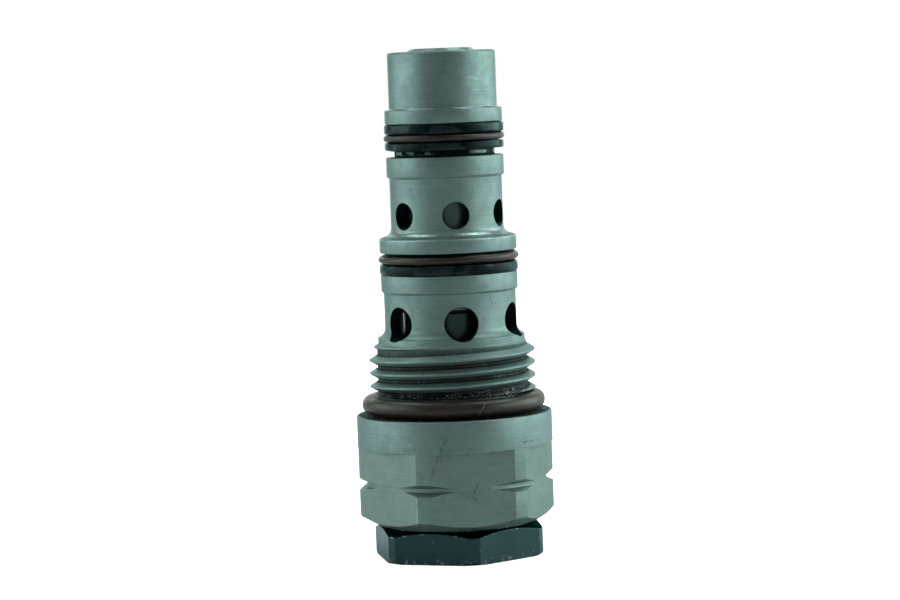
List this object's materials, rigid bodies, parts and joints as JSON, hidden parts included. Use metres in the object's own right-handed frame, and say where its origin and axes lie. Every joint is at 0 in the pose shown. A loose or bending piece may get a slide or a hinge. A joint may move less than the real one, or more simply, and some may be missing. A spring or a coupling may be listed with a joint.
{
  "type": "cartridge valve",
  "caption": "Screw-in hydraulic cartridge valve with a pilot-operated spool, seal-ringed lands, radial port holes, a threaded collar, a large body hexagon and a dark hexagonal end plug.",
  "frame": {"origin": "centre of the end plug's lower face, on the cartridge axis", "axes": "+Z along the cartridge axis from the end plug to the nose; -Y faces a flat of the body hexagon and (within 1 degree) one port hole of each ring; +X to the right seen from -Y"},
  "size_m": [0.0318, 0.0318, 0.0823],
  "materials": {
    "body_steel": "phosphated, satin",
    "black_oxide": "black oxide, satin",
    "brown_seal": "oiled rubber",
    "black_backup": "smooth filled plastic",
    "bright_steel": "ground",
    "spring_steel": "drawn wire",
    "mesh_steel": "etched sheet"
  },
  "bodies": {
    "cartridge": {"valve_body": "body_steel", "end_plug": "black_oxide", "nose_stop_ring": "body_steel", "nose_o_ring": "brown_seal", "nose_backup_ring_outer": "black_backup", "nose_backup_ring_inner": "black_backup", "mid_o_ring": "brown_seal", "mid_backup_ring": "black_backup", "port_o_ring": "brown_seal", "plug_o_ring": "brown_seal", "main_spring": "spring_steel", "pilot_sleeve": "bright_steel", "pilot_seat": "bright_steel", "pilot_seat_o_ring": "brown_seal", "pilot_spring": "spring_steel", "setting_shims": "bright_steel"},
    "spool": {"main_spool": "bright_steel", "spool_orifice_plug": "bright_steel", "orifice_filter": "mesh_steel", "filter_ring": "spring_steel"},
    "poppet": {"pilot_poppet": "bright_steel"}
  },
  "joints": [
    {"name": "spool_slide", "type": "slide", "parent": "cartridge", "child": "spool", "axis": [0, 0, -1], "range_m": [0, 0.0045], "stiffness_N_per_m": 1500, "springref_m": -0.002, "deforming": ["main_spring"]},
    {"name": "pilot_lift", "type": "slide", "parent": "cartridge", "child": "poppet", "axis": [0, 0, -1], "range_m": [0, 0.001], "stiffness_N_per_m": 100, "springref_m": -0.001, "deforming": ["pilot_spring"]}
  ]
}
